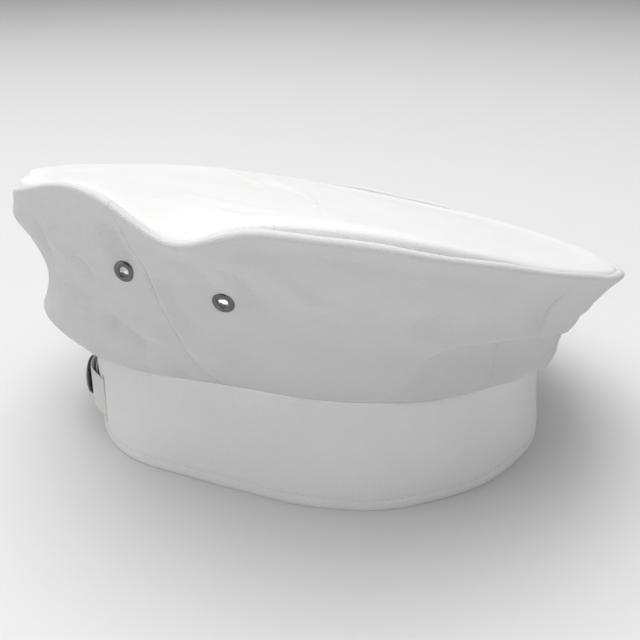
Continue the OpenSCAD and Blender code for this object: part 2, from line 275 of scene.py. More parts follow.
def fold_offset(a, s):
    """(outward, up) offsets of the big overhanging fold at the right front."""
    around = a % 360
    below = (table_value(around, FOLD_LINE) - s) * WALL_LENGTH
    beside = (around - table_value(s, FOLD_EDGE)) * AROUND
    depth = table_value(around, TUCK) * table_value(s, TUCK_SHARE)
    inside = smooth((below + 1.0) / 5.5) * smooth((beside + 1.0) / 7.0)
    drop = table_value(around, FOLD_DROP) * np.exp(-((below + 2.0) / 4.5) ** 2) * smooth(beside / 6 + 0.5)
    lip = 1.3 * np.exp(-((below + 2.0) / 4.0) ** 2) * smooth(beside / 6 + 0.5)
    lip = lip * (table_value(around, FOLD_DROP) > 0)
    side_lip = 1.2 * np.exp(-((beside + 2.5) / 4.0) ** 2) * smooth(below / 8) * smooth(s / 0.1)
    return lip + side_lip - depth * inside, -drop


def ripple(a, s):
    """Soft uneven waves in units of RIPPLE_DEPTH, the same every run."""
    draw = np.random.default_rng(RIPPLE_SEED)
    total = 0 * (a + s)
    for _ in range(RIPPLE_WAVES):
        n = draw.integers(5, 26)
        m = draw.uniform(1.0, 7.0)
        phase = draw.uniform(0, 2 * math.pi)
        total = total + np.sin(np.radians(n * a) + m * s * math.pi + phase) / (3 + 0.35 * n)
    return total


SIM_FIELD = {}


def sim_offset(kind, a, s):
    """Offsets from the cloth simulation, interpolated on its own grid."""
    if kind not in SIM_FIELD:
        return np.zeros(np.broadcast(a, s).shape + (3,))
    angles, shares, field = SIM_FIELD[kind]
    a, s = np.broadcast_arrays(a % 360, s)
    col = a / 360 * len(angles)
    c0 = np.floor(col).astype(int)
    ct = (col - c0)[..., None]
    row = np.clip(np.interp(s, shares, np.arange(len(shares))), 0, len(shares) - 1.001)
    r0 = np.floor(row).astype(int)
    rt = (row - r0)[..., None]
    c0, c1 = c0 % len(angles), (c0 + 1) % len(angles)
    low = field[r0, c0] * (1 - ct) + field[r0, c1] * ct
    high = field[r0 + 1, c0] * (1 - ct) + field[r0 + 1, c1] * ct
    return low * (1 - rt) + high * rt


# ---- Cloth simulation: the crown's cloth is a little larger than its shape and settles into it ----
SIM_COLUMNS = 160
SIM_WALL_ROWS = 28
SIM_TIP_ROWS = 18
SIM_FRAMES = 26
SIM_EXTRA_CLOTH = 0.05
SIM_HOLD = 0.08
SIM_RIM_HOLD = 0.5
SIM_TIP_ROOM = 0.35
SIM_HOLD_STIFFNESS = 20.0
SIM_GRAVITY = 0.3
SIM_LIMIT = 4.0
SIM_FOLD_CUT = 0.8


def simulate_crown():
    """Runs the simulation on a coarse crown and keeps how far each point moved."""
    angles = np.arange(SIM_COLUMNS) * 360 / SIM_COLUMNS
    wall_shares = np.linspace(0, 1, SIM_WALL_ROWS)
    tip_shares = np.linspace(0, 1, SIM_TIP_ROWS + 1)
    tip_edge = rim_radius(angles) - GROOVE_IN
    folded = between(angles, 204, 258, 12)
    rows = [wall_soft(angles, s + 0 * angles) for s in wall_shares]
    rows += [tip_point(share * tip_edge, angles) for share in tip_shares[:-1]]
    hub = tip_point(tip_edge[:1], angles[:1])
    points = np.concatenate(rows + [hub]) * MM
    count = SIM_WALL_ROWS + SIM_TIP_ROWS
    faces = []
    for i in range(count):
        for j in range(SIM_COLUMNS):
            k = (j + 1) % SIM_COLUMNS
            low = (i * SIM_COLUMNS + j, i * SIM_COLUMNS + k)
            high = ((i + 1) * SIM_COLUMNS + k, (i + 1) * SIM_COLUMNS + j)
            faces.append(low + (high if i < count - 1 else (len(points) - 1,)))
    mesh = bpy.data.meshes.new("settling_crown")
    mesh.from_pydata([tuple(p) for p in points], [], faces)
    obj = bpy.data.objects.new("settling_crown", mesh)
    bpy.context.scene.collection.objects.link(obj)
    held = obj.vertex_groups.new(name="held")
    roomy = obj.vertex_groups.new(name="roomy")
    for row in range(count):
        from_rim = abs(row - SIM_WALL_ROWS)
        hold = 1.0 if row == 0 else SIM_RIM_HOLD if from_rim <= 1 else SIM_HOLD
        held.add(list(range(row * SIM_COLUMNS, (row + 1) * SIM_COLUMNS)), hold, "REPLACE")
        room = min(from_rim / 5, row / 4, 1.0) * (1.0 if row < SIM_WALL_ROWS else SIM_TIP_ROOM)
        for column in range(SIM_COLUMNS):
            roomy.add([row * SIM_COLUMNS + column], room * (1 - folded[column]), "REPLACE")
    held.add([len(points) - 1], SIM_HOLD, "REPLACE")

    cloth = obj.modifiers.new("settle", "CLOTH")
    settings = cloth.settings
    settings.quality = 8
    settings.mass = 0.2
    settings.tension_stiffness = 30
    settings.compression_stiffness = 30
    settings.shear_stiffness = 10
    settings.bending_stiffness = 1.5
    settings.shrink_min = 0
    settings.shrink_max = -SIM_EXTRA_CLOTH
    settings.vertex_group_shrink = roomy.name
    settings.vertex_group_mass = held.name
    settings.pin_stiffness = SIM_HOLD_STIFFNESS
    settings.effector_weights.gravity = SIM_GRAVITY
    cloth.point_cache.frame_start = 1
    cloth.point_cache.frame_end = SIM_FRAMES
    scene = bpy.context.scene
    for frame_number in range(1, SIM_FRAMES + 1):
        scene.frame_set(frame_number)
    settled = obj.evaluated_get(bpy.context.evaluated_depsgraph_get())
    after = np.empty(len(points) * 3)
    settled.data.vertices.foreach_get("co", after)
    moved = (after.reshape(-1, 3) - points) / MM
    size = np.linalg.norm(moved, axis=1, keepdims=True)
    moved = moved * np.tanh(size / SIM_LIMIT) * SIM_LIMIT / np.maximum(size, 1e-9)
    print("cloth settled: moved up to %.2f mm, on average %.2f mm" % (size.max(), size.mean()))
    scene.frame_set(1)
    bpy.data.objects.remove(obj)
    bpy.data.meshes.remove(mesh)

    moved, centre = moved[:-1].reshape(count, SIM_COLUMNS, 3), moved[-1]
    fade = smooth(wall_shares / 0.08) * smooth((1 - wall_shares) / 0.1)
    fade = fade[:, None] * (1 - SIM_FOLD_CUT * folded)
    SIM_FIELD["wall"] = (angles, wall_shares, moved[:SIM_WALL_ROWS] * fade[:, :, None])
    last = np.broadcast_to(centre, (1, SIM_COLUMNS, 3))
    SIM_FIELD["tip"] = (angles, tip_shares, np.concatenate([moved[SIM_WALL_ROWS:], last]))


def wall_soft(a, s):
    """The side wall with its folds, before the seams."""
    a, s = np.broadcast_arrays(np.asarray(a, float), np.asarray(s, float))
    p = wall_base(a, s)
    n = surface_normal(wall_base, a, s)
    free = smooth(s / 0.12) * smooth((1 - s) / 0.12)
    p = p + n * ((CREASE_DEPTH * crease_height(a, s) + RIPPLE_DEPTH * ripple(a, s)) * free)[..., None]
    out, up = fold_offset(a, s)
    for centre, share, wide, tall, amount in WALL_BULGES:
        out = out + amount * bell(a, centre, wide) * np.exp(-((s - share) / tall) ** 2)
    p = p + level_ray(a) * out[..., None]
    p[..., 2] += up
    return p + sim_offset("wall", a, s)


SEAM_DIP = 0.6
SEAM_DIP_W = 1.5


def wall_point(a, s):
    """The finished side wall: the cloth dips into each panel seam."""
    p = wall_soft(a, s)
    n = surface_normal(wall_soft, a, s)
    radius = np.hypot(p[..., 0], p[..., 1])
    dip = 0
    for seam, _ in PANEL_SEAMS.values():
        off = np.radians(turn_between(a, seam)) * radius
        dip = dip + SEAM_DIP * np.exp(-(np.abs(off) / SEAM_DIP_W) ** 1.5)
    return p - n * (dip * smooth(s / 0.05) * smooth((1 - s) / 0.08))[..., None]


# ---- Tip ----
LIP_R = 1.7
GROOVE_IN = 3.6
GROOVE_DOWN = 1.6
GROOVE_W = 1.4
PILLOW = 2.2
# Distances from the seam in which the pillow rises, and fades towards the middle
PILLOW_EDGE = 3.4
PILLOW_REACH = 42
# Where the tip hangs out most, and over what width
HANG_AT = 2.6
HANG_W = 2.2
# How much more the tip stands up behind the rim: (angle, half width, amount)
PILLOW_WAVES = ((153, 10, -2.6), (188, 20, 3.4), (108, 20, 2.8), (238, 24, -1.2), (340, 36, -3.0))
# Where the tip hangs out over its seam: (from, to, soft, amount)
TIP_OVERHANGS = ((171, 206, 12, 2.3), (88, 132, 12, 2.6), (225, 275, 12, 1.5))
TIP_CREASES = (
    ((-40, 60), (-95, -5), 8, 1.2),
    ((10, 70), (-60, 20), 10, -1.0),
    ((-70, -20), (-20, -100), 9, 1.2),
    ((-95, -40), (-60, -95), 7, -1.3),
    ((20, -10), (70, -60), 12, 1.1),
    ((30, 50), (90, 10), 11, -1.0),
    ((-30, -10), (20, -70), 12, -0.9),
    ((-10, 110), (50, 90), 8, 1.0),
)


def rim_radius(a):
    return ring_points(np.asarray(a, float))[4][0]


def tip_height(f, a):
    oval = RIM_Z[3] * np.cos(np.radians(2 * a))
    return (RIM_H + f * (wave(RIM_Z, a) - RIM_H - oval) + f * f * oval + f ** 6 * rim_wave(a)
            + TIP_CROWN * (1 - f ** 4))


def tip_point(d, a):
    """The tip at a distance d in mm from its seam."""
    edge = rim_radius(a) - GROOVE_IN
    r = np.maximum(edge - d, 0)
    f = r / CROWN_R
    z = tip_height(f, a)
    lift = PILLOW + sum(h * bell(a, c, w) for c, w, h in PILLOW_WAVES)
    hang = sum(amount * between(a, start, end, soft) for start, end, soft, amount in TIP_OVERHANGS)
    rise = 1 - np.exp(-(d / (PILLOW_EDGE - 0.6 * hang)) ** 1.5)
    fade = np.exp(-(d / PILLOW_REACH) ** 2)
    z = z + lift * rise * fade - GROOVE_DOWN * np.exp(-(d / GROOVE_W))
    r = r + hang * np.exp(-((d - HANG_AT) / HANG_W) ** 2)
    t = np.radians(a)
    x, y = r * np.cos(t), r * np.sin(t)
    bumps = 0
    for (x0, y0), (x1, y1), width, depth in TIP_CREASES:
        bumps = bumps + depth * ridge(x - x0, y - y0, x1 - x0, y1 - y0, width, 0.4)
    bumps = bumps + 0.5 * np.sin(0.055 * x + 0.03 * y) * np.sin(0.045 * y - 0.02 * x + 1)
    z = z + bumps * smooth(d / 14)
    return np.stack([x, y, z], -1) + sim_offset("tip", a, d / edge) * smooth(d / 8)[..., None]


# ---- Mesh helpers ----
def finish_mesh(name, points, faces, coords=None, flat=False):
    mesh = bpy.data.meshes.new(name)
    mesh.from_pydata([tuple(p) for p in points * MM], [], faces)
    mesh.validate()
    if coords is not None:
        layer = mesh.attributes.new("cloth_at", "FLOAT_VECTOR", "POINT")
        layer.data.foreach_set("vector", (coords * MM).astype(np.float32).ravel())
    if not flat:
        mesh.polygons.foreach_set("use_smooth", [True] * len(mesh.polygons))
    mesh.update()
    obj = bpy.data.objects.new(name, mesh)
    bpy.context.scene.collection.objects.link(obj)
    return obj


def drop_unused(faces):
    """The points that the faces use, and the faces numbered to match."""
    used = sorted({v for f in faces for v in f})
    index = {v: n for n, v in enumerate(used)}
    return used, [tuple(index[v] for v in f) for f in faces]


def shell(name, outer, inner, coords, wrap=False, flip=False, keep=None, hub=False):
    """Closed sheet between two equal grids of points, rows by columns. keep says which cells are there."""
    rows, cols = outer.shape[:2]
    count = rows * cols
    spans = cols if wrap else cols - 1
    cells = []
    for i in range(rows - 1):
        for j in range(spans):
            if keep is not None and not keep[i, j]:
                continue
            k = (j + 1) % cols
            cell = (i * cols + j, i * cols + k, (i + 1) * cols + k, (i + 1) * cols + j)
            cells.append(cell[::-1] if flip else cell)
    points = np.concatenate([outer.reshape(-1, 3), inner.reshape(-1, 3)])
    flat = np.concatenate([coords.reshape(-1, 3)] * 2)
    edges = {(c[m], c[(m + 1) % len(c)]) for c in cells for m in range(len(c))}
    faces = cells + [tuple(v + count for v in c[::-1]) for c in cells]
    if hub:
        last = rows - 1
        ring = [last * cols + j for j in range(cols)]
        ring = ring if not flip else ring[::-1]
        faces += [tuple(ring), tuple(v + count for v in ring[::-1])]
        edges |= {(ring[m], ring[(m + 1) % cols]) for m in range(cols)}
    faces += [(b, a, a + count, b + count) for a, b in edges if (b, a) not in edges]
    used, faces = drop_unused(faces)
    return finish_mesh(name, points[used], faces, flat[used])


def frame_at(point, normal, up=(0, 0, 1)):
    """Axes at a point: across, along and out, as rows."""
    out = unit(np.asarray(normal, float))
    across = unit(np.cross(np.asarray(up, float), out))
    return np.stack([across, np.cross(out, across), out]), np.asarray(point, float)


def lathe(name, places, profile, segments=48):
    """Turned piece with a closed (radius, height) outline, once at each place."""
    points, faces = [], []
    turn = np.arange(segments) * 2 * math.pi / segments
    count = len(profile)
    for axes, origin in places:
        start = len(points)
        for r, z in profile:
            for t in turn:
                points.append(origin + r * math.cos(t) * axes[0] + r * math.sin(t) * axes[1] + z * axes[2])
        for i in range(count):
            k = (i + 1) % count
            if profile[i][0] < 1e-6 and profile[k][0] < 1e-6:
                continue
            for j in range(segments):
                m = (j + 1) % segments
                quad = [start + i * segments + j, start + i * segments + m,
                        start + k * segments + m, start + k * segments + j]
                if profile[i][0] < 1e-6:
                    quad = [start + i * segments, quad[2], quad[3]]
                elif profile[k][0] < 1e-6:
                    quad = [quad[0], quad[1], start + k * segments]
                faces.append(tuple(quad))
    used, faces = drop_unused(faces)
    return finish_mesh(name, np.array(points)[used], faces)


def arc(cx, cz, r, start, end, steps):
    """Points of an arc in a (radius, height) outline."""
    return [(cx + r * math.cos(math.radians(start + (end - start) * i / steps)),
             cz + r * math.sin(math.radians(start + (end - start) * i / steps))) for i in range(steps + 1)]


def distance_along(path):
    return np.concatenate([[0], np.cumsum(np.linalg.norm(np.diff(path, axis=0), axis=1))])


def stitches(name, path, normals, length=2.3, pitch=3.0, radius=0.2, sink=0.05):
    """Row of thread stitches along a path of points, each a small bar that dives in at its ends."""
    dist = distance_along(path)
    count = max(1, int(dist[-1] / pitch))
    pitch = dist[-1] / count
    points, faces = [], []
    shares = (-0.5, -0.42, -0.2, 0.0, 0.2, 0.42, 0.5)
    sizes = (0.35, 0.8, 1.0, 1.05, 1.0, 0.8, 0.35)
    lifts = (-1.6, -0.5, 0.35, 0.5, 0.35, -0.5, -1.6)
    sides = 6
    for k in range(count):
        middle = (k + 0.5) * pitch
        start = len(points)
        for share, size, lift in zip(shares, sizes, lifts):
            at = middle + share * length
            p = np.array([np.interp(at, dist, path[:, c]) for c in range(3)])
            n = unit(np.array([np.interp(at, dist, normals[:, c]) for c in range(3)]))
            q = np.array([np.interp(at + 0.3, dist, path[:, c]) for c in range(3)])
            b = np.array([np.interp(at - 0.3, dist, path[:, c]) for c in range(3)])
            along = unit(q - b)
            side = unit(np.cross(n, along))
            centre = p + n * (radius * lift - sink)
            for m in range(sides):
                w = 2 * math.pi * m / sides
                points.append(centre + radius * size * (math.cos(w) * side + math.sin(w) * n))
        rings = len(shares)
        for i in range(rings - 1):
            for m in range(sides):
                w = (m + 1) % sides
                faces.append((start + i * sides + m, start + i * sides + w,
                              start + (i + 1) * sides + w, start + (i + 1) * sides + m))
        faces.append(tuple(start + m for m in reversed(range(sides))))
        faces.append(tuple(start + (rings - 1) * sides + m for m in range(sides)))
    return finish_mesh(name, np.array(points), faces)


# ---- Materials ----
def shader(name):
    material = bpy.data.materials.new(name)
    material.use_nodes = True
    tree = material.node_tree
    return material, tree, tree.nodes["Principled BSDF"]


def node(tree, kind, **values):
    made = tree.nodes.new(kind)
    for key, value in values.items():
        if key.startswith("in_"):
            made.inputs[key[3:].replace("_", " ")].default_value = value
        else:
            setattr(made, key, value)
    return made


def math_node(tree, operation, a, b=None):
    made = tree.nodes.new("ShaderNodeMath")
    made.operation = operation
    for socket, value in zip(made.inputs, (a, b)):
        if value is None:
            continue
        if isinstance(value, (int, float)):
            socket.default_value = value
        else:
            tree.links.new(value, socket)
    return made.outputs[0]


def wave_lines(tree, vector, pitch, angle, distortion=0.0):
    """Parallel threads of a pitch in metres at an angle in degrees, 0 to 1."""
    mapping = node(tree, "ShaderNodeMapping")
    mapping.inputs["Rotation"].default_value = (0, 0, math.radians(angle))
    tree.links.new(vector, mapping.inputs["Vector"])
    lines = node(tree, "ShaderNodeTexWave", wave_type="BANDS", bands_direction="X", wave_profile="SIN")
    lines.inputs["Scale"].default_value = 2 * math.pi / (20 * pitch)
    lines.inputs["Distortion"].default_value = distortion
    lines.inputs["Detail"].default_value = 2.0
    lines.inputs["Detail Scale"].default_value = 1.5
    tree.links.new(mapping.outputs[0], lines.inputs["Vector"])
    return lines.outputs["Fac"]


def colour_between(tree, factor, first, second):
    mix = node(tree, "ShaderNodeMix", data_type="RGBA")
    for socket in mix.inputs:
        if socket.name in ("A", "B") and socket.type == "RGBA":
            socket.default_value = (*(first if socket.name == "A" else second), 1)
    tree.links.new(factor, mix.inputs["Factor"])
    return [o for o in mix.outputs if o.type == "RGBA"][0]


def noise(tree, vector, **values):
    made = node(tree, "ShaderNodeTexNoise", **values)
    tree.links.new(vector, made.inputs["Vector"])
    return made.outputs["Fac"]


def add_bump(tree, bsdf, height, strength, distance):
    bump = node(tree, "ShaderNodeBump", in_Strength=strength, in_Distance=distance)
    tree.links.new(height, bump.inputs["Height"])
    tree.links.new(bump.outputs["Normal"], bsdf.inputs["Normal"])


def cloth_material(name, light, dark, pitch=0.0009, twill=62, depth=0.16, rough=0.86, sheen=0.25, fuzz=0.35):
    """Woven cloth: diagonal twill lines crossed by finer threads, slubs, and slow tone changes."""
    material, tree, bsdf = shader(name)
    at = node(tree, "ShaderNodeAttribute", attribute_name="cloth_at").outputs["Vector"]
    lines = wave_lines(tree, at, pitch, twill, 0.25)
    fine = wave_lines(tree, at, pitch * 0.55, 0, 0.15)
    slubs = noise(tree, at, in_Scale=420.0, in_Detail=3.0)
    slow = noise(tree, at, in_Scale=22.0, in_Detail=4.0, in_Roughness=0.55)
    weave = math_node(tree, "ADD", math_node(tree, "MULTIPLY", lines, 0.6),
                      math_node(tree, "MULTIPLY", fine, 0.4))
    weave = math_node(tree, "ADD", math_node(tree, "MULTIPLY", weave, 0.75),
                      math_node(tree, "MULTIPLY", slubs, fuzz))
    tone = math_node(tree, "ADD", math_node(tree, "MULTIPLY", weave, 0.55),
                     math_node(tree, "MULTIPLY", slow, 0.6))
    tree.links.new(colour_between(tree, tone, dark, light), bsdf.inputs["Base Color"])
    add_bump(tree, bsdf, weave, 0.85, depth * MM)
    roughness = math_node(tree, "ADD", math_node(tree, "MULTIPLY", slow, 0.12), rough - 0.06)
    tree.links.new(roughness, bsdf.inputs["Roughness"])
    bsdf.inputs["Sheen Weight"].default_value = sheen
    bsdf.inputs["Sheen Roughness"].default_value = 0.55
    bsdf.inputs["Specular IOR Level"].default_value = 0.25
    return material


def grained_material(name, light, dark, metallic, roughness, spread, scale, depth, coat=0.0):
    """Metal or plastic with fine uneven grain in colour, roughness and bump."""
    material, tree, bsdf = shader(name)
    at = node(tree, "ShaderNodeTexCoord").outputs["Object"]
    grain = noise(tree, at, in_Scale=scale, in_Detail=5.0, in_Roughness=0.6)
    worn = noise(tree, at, in_Scale=scale * 0.18, in_Detail=3.0)
    tree.links.new(colour_between(tree, worn, dark, light), bsdf.inputs["Base Color"])
    rough = math_node(tree, "ADD", math_node(tree, "MULTIPLY", grain, spread), roughness - spread / 2)
    tree.links.new(rough, bsdf.inputs["Roughness"])
    add_bump(tree, bsdf, grain, 0.25, depth * MM)
    bsdf.inputs["Metallic"].default_value = metallic
    bsdf.inputs["Coat Weight"].default_value = coat
    bsdf.inputs["Coat Roughness"].default_value = 0.06
    return material


def thread_material(name, light, dark):
    """Twisted sewing thread."""
    material, tree, bsdf = shader(name)
    at = node(tree, "ShaderNodeTexCoord").outputs["Object"]
    twist = wave_lines(tree, at, 0.0003, 35, 0.4)
    tree.links.new(colour_between(tree, twist, dark, light), bsdf.inputs["Base Color"])
    add_bump(tree, bsdf, twist, 0.5, 0.00005)
    bsdf.inputs["Roughness"].default_value = 0.6
    bsdf.inputs["Sheen Weight"].default_value = 0.2
    return material


COTTON = cloth_material("crown_twill", (0.80, 0.80, 0.795), (0.71, 0.71, 0.705), sheen=0.12)
# Painted shade: the side wall is the same cloth as the tip, made darker so that the wall looks shaded under
# the top light.
WALL_COTTON_PAINTED_SHADE = cloth_material("crown_wall_twill", (0.69, 0.69, 0.69), (0.59, 0.59, 0.59), sheen=0.08)
# Painted light: the band is the same cloth as the tip, made lighter so that it looks lit where the crown
# shades it.
BAND_COTTON_PAINTED_LIGHT = cloth_material("band_twill", (0.86, 0.86, 0.86), (0.76, 0.76, 0.76), depth=0.14)
LINING = cloth_material("lining_cotton", (0.78, 0.78, 0.76), (0.70, 0.70, 0.68), pitch=0.0007, twill=0)
STIFFENER = cloth_material("interlining_felt", (0.72, 0.72, 0.70), (0.60, 0.60, 0.58), pitch=0.0015, fuzz=0.7)
TAPE = cloth_material("strap_tape", (0.76, 0.76, 0.73), (0.66, 0.66, 0.63), pitch=0.0011, twill=45, depth=0.2)
SATIN = cloth_material("label_satin", (0.86, 0.86, 0.86), (0.80, 0.80, 0.81), pitch=0.0003, twill=0,
                       depth=0.04, rough=0.42, sheen=0.1, fuzz=0.1)
THREAD = thread_material("white_thread", (0.80, 0.80, 0.80), (0.62, 0.62, 0.62))
DARK_NICKEL = grained_material("dark_nickel", (0.20, 0.195, 0.19), (0.09, 0.088, 0.085), 1.0, 0.30, 0.16,
                               900, 0.02)
NICKEL = grained_material("bright_nickel", (0.62, 0.61, 0.59), (0.45, 0.44, 0.43), 1.0, 0.24, 0.14, 900, 0.02)
BLACK = grained_material("black_plastic", (0.012, 0.012, 0.012), (0.005, 0.005, 0.005), 0.0, 0.28, 0.12, 500,
                         0.02, 0.5)


def dress(obj, material, body, covers=()):
    obj.data.materials.clear()
    obj.data.materials.append(material)
    if body:
        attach(obj, body)
    if covers:
        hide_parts(*covers)


# ---- Side panels ----
COLS_PER_DEGREE = 1.25
WALL_ROWS = 72
EYELET_REACH = 8.0
EYELET_OPEN = 1.7
# Extra columns close to each seam, as shares of this many degrees
SEAM_ZONE = 1.2
SEAM_COLUMNS = 7
# The rounded lip: its steps, the direction its end points in, and how much its radius varies
LIP_STEPS = 15
LIP_END = 265
LIP_UNEVEN = 0.35


def open_eyelets(points, keep, spots):
    """Spreads the cloth round each eyelet's middle into a round hole."""
    for spot, normal in spots:
        off = points - spot
        off = off - (off @ normal)[..., None] * normal
        away = np.linalg.norm(off, axis=-1)
        cell = away[:-1, :-1] + away[1:, :-1] + away[:-1, 1:] + away[1:, 1:]
        i, j = np.unravel_index(np.argmin(cell), cell.shape)
        keep[i, j] = False
        grow = np.where(away < EYELET_REACH,
                        EYELET_OPEN + away * (EYELET_REACH - EYELET_OPEN) / EYELET_REACH, away)
        points = points + off * (grow / np.maximum(away, 1e-6) - 1)[..., None]
    return points


def eyelet_place(spot):
    a, s = np.array([float(spot[0])]), np.array([float(spot[1])])
    return wall_point(a, s)[0], surface_normal(wall_soft, a, s)[0]


def panel_grid(a0, a1):
    """Points of a panel from the band seam up to and over the rim's rounded lip."""
    cols = int((a1 - a0) * COLS_PER_DEGREE) + 1
    angles = np.linspace(a0, a1, cols)
    near = np.linspace(0, 1, SEAM_COLUMNS)[1:-1] * SEAM_ZONE
    angles = np.unique(np.concatenate([angles, a0 + near, a1 - near]))
    a, s = np.meshgrid(angles, np.linspace(0, 1, WALL_ROWS))
    body = wall_point(a, s)
    level = level_ray(angles)
    up = np.array([0, 0, 1])
    rim = body[-1]
    lead = unit(rim - body[-3])
    slope = np.degrees(np.arctan2(lead[:, 2], (lead * level).sum(-1)))
    uneven = np.sin(np.radians(7 * angles)) * np.sin(np.radians(11 * angles + 40))
    lip_r = (LIP_R + LIP_UNEVEN * uneven)[:, None]

    def lip_ray(angle):
        w = np.radians(angle)[:, None]
        return level * np.cos(w) + up * np.sin(w)

    centre = rim - lip_r * lip_ray(slope - 90)
    lip = [centre + lip_r * lip_ray(slope - 90 + share * (LIP_END + 90 - slope))
           for share in np.linspace(0, 1, LIP_STEPS)[1:]]
    return angles, np.concatenate([body, np.array(lip)])


def grid_normals(points):
    return unit(np.cross(np.gradient(points, axis=1), np.gradient(points, axis=0)))


def cloth_coords(points, angles, radius=125.0):
    """Flat position on the cloth: distance round, and distance up the profile."""
    step = np.linalg.norm(np.diff(points, axis=0), axis=-1)
    up = np.concatenate([np.zeros((1, points.shape[1])), np.cumsum(step, axis=0)])
    across = np.radians(angles) * radius + 0 * up
    return np.stack([across, up, 0 * up], -1)


def make_panel(key):
    a0, a1 = PANEL_SEAMS[key]
    angles, points = panel_grid(a0, a1)
    coords = cloth_coords(points, angles)
    keep = np.ones((points.shape[0] - 1, points.shape[1] - 1), bool)
    spots = [eyelet_place(s) for s in EYELET_SPOTS if a0 < s[0] < a1 or a0 < s[0] + 360 < a1]
    points = open_eyelets(points, keep, spots)
    inner = points - CLOTH * grid_normals(points)
    panel = shell("side_panel_" + key + "_cloth", points, inner, coords, keep=keep)
    dress(panel, WALL_COTTON_PAINTED_SHADE, HAT, ["side_panel_" + key])


# ---- Tip ----
def make_tip():
    angles = np.arange(0, 360, 1 / COLS_PER_DEGREE)
    near = np.concatenate([np.arange(0, 6, 0.4), np.arange(6, 24, 1.2), np.linspace(24, 128, 62)])
    d, a = np.meshgrid(near, angles, indexing="ij")
    points = tip_point(d, a)
    inner = points + CLOTH * grid_normals(points)
    coords = np.stack([points[..., 0], points[..., 1], 0 * a], -1)
    tip = shell("crown_tip_cloth", points, inner, coords, wrap=True, hub=True)
    dress(tip, COTTON, HAT, ["crown_tip"])


# ---- Band ----
STRAP_Z = 22.0
STRAP_W = 20.0
STRAP_T = 0.8
RIGHT_SLIT = 104.0
LEFT_SLIT = 65.2
SLIT_H = 25.0
# Half of the slit's width, in degrees
SLIT_HALF = 0.72
HEM = 5.4
FACING_SEAM = 40.0
BAND_ROWS = 66
LINING_ROWS = 34
LINING_STEP = 1.5
LAYER_PLAY = 0.05


def band_wobble(a, z):
    """The band's soft unevenness, in mm outwards. Its lower edge spreads a little at the front and back."""
    spread = (1.8 * bell(a, 262, 26) + 1.2 * bell(a, 112, 14)) * smooth((30 - z) / 26)
    return (spread + 0.35 * np.sin(np.radians(7 * a) + 1) * np.sin(z / 17 + np.radians(3 * a))
            + 0.25 * np.sin(np.radians(13 * a) + z / 9))


def band_at(a, z, depth):
    p = outline(a) - (depth - band_wobble(a, z))[..., None] * outline_normal(a)
    return np.stack([p[..., 0], p[..., 1], z + 0 * a], -1)


def band_grid(angles, depth, rows, low, crimp):
    top = seam_height(outline(angles)[..., 1]) - 0.2
    share = np.linspace(0, 1, rows)
    z = low + share[:, None] * (top - low)[None]
    a = angles[None] + 0 * z
    hem = 0.35 * np.exp(-((z - HEM) / 0.9) ** 2) * crimp
    roll = 0.9 * crimp * np.exp(-(z - low) / 0.8)
    tuck = 0.9 * np.exp(-(top[None] - z) / 1.2) * crimp
    return a, z, band_at(a, z, depth + hem + roll + tuck)


def make_band():
    slits = (RIGHT_SLIT, LEFT_SLIT)
    fine = np.concatenate([np.arange(0, 360, 1.0)]
                          + [np.array([c - SLIT_HALF, c + SLIT_HALF]) for c in slits])
    angles = np.unique(np.round(fine, 3))
    # Columns so near a slit's edge that their cells would be slivers are left out
    close = [x for c in slits for x in angles if 0.1 < abs(x - c) - SLIT_HALF < 0.5 or abs(x - c) < 0.6]
    angles = np.array([x for x in angles if x not in close])
    a, z, outer = band_grid(angles, 0.0, BAND_ROWS, 0.0, 1.0)
    inner = band_grid(angles, BAND_LAYER - 2 * LAYER_PLAY, BAND_ROWS, 0.0, 0.0)[2]
    keep = np.ones((outer.shape[0] - 1, len(angles)), bool)
    middle_z = (z[1:] + z[:-1]) / 2
    for c in slits:
        j = int(np.argmin(np.abs(angles - (c - SLIT_HALF))))
        keep[:, j] = np.abs(middle_z[:, j] - STRAP_Z) > SLIT_H / 2
    coords = np.stack([np.radians(a) * MEAN_R, z, 0 * z], -1)
    band = shell("band_outer_cloth", outer, inner, coords, wrap=True, keep=keep)
    dress(band, BAND_COTTON_PAINTED_LIGHT, HAT, ["band_outer"])

    for name, covers, depth, thick, material, slot in (
            ("band_interlining_felt", "band_interlining", BAND_LAYER, BAND_LAYER, STIFFENER, "interlining"),
            ("band_facing_cloth", "band_facing", 2 * BAND_LAYER, BAND_LAYER, LINING, "lining_cotton")):
        steps = np.arange(0, 360, LINING_STEP)
        a, z, front = band_grid(steps, depth + LAYER_PLAY, LINING_ROWS, 0.5, 0.0)
        back = band_grid(steps, depth + thick - LAYER_PLAY, LINING_ROWS, 0.5, 0.0)[2]
        coords = np.stack([np.radians(a) * MEAN_R, z, 0 * z], -1)
        layer = shell(name, front, back, coords, wrap=True)
        dress(layer, material, HAT, [covers])

    steps = np.arange(0, 360.01, 0.5)
    inside = BAND_T - LAYER_PLAY
    for name, depth, z, side in (("hem_stitches", 0.35, HEM, 1), ("hem_stitches_inside", inside, HEM, -1),
                                 ("facing_stitches", inside, FACING_SEAM, -1)):
        path = band_at(steps, z + 0 * steps, depth + 0 * steps)
        n = np.concatenate([outline_normal(steps) * side, np.zeros((len(steps), 1))], 1)
        row = stitches(name, path, n)
        dress(row, THREAD, HAT)


# ---- Rim tape inside the crown ----
BINDING_SHARES = (0.9, 0.97)
BINDING_ROWS = 10
BINDING_STEP = 1.5
BINDING_GAP = 0.5
BINDING_T = 0.7
BINDING_BULGE = 0.25


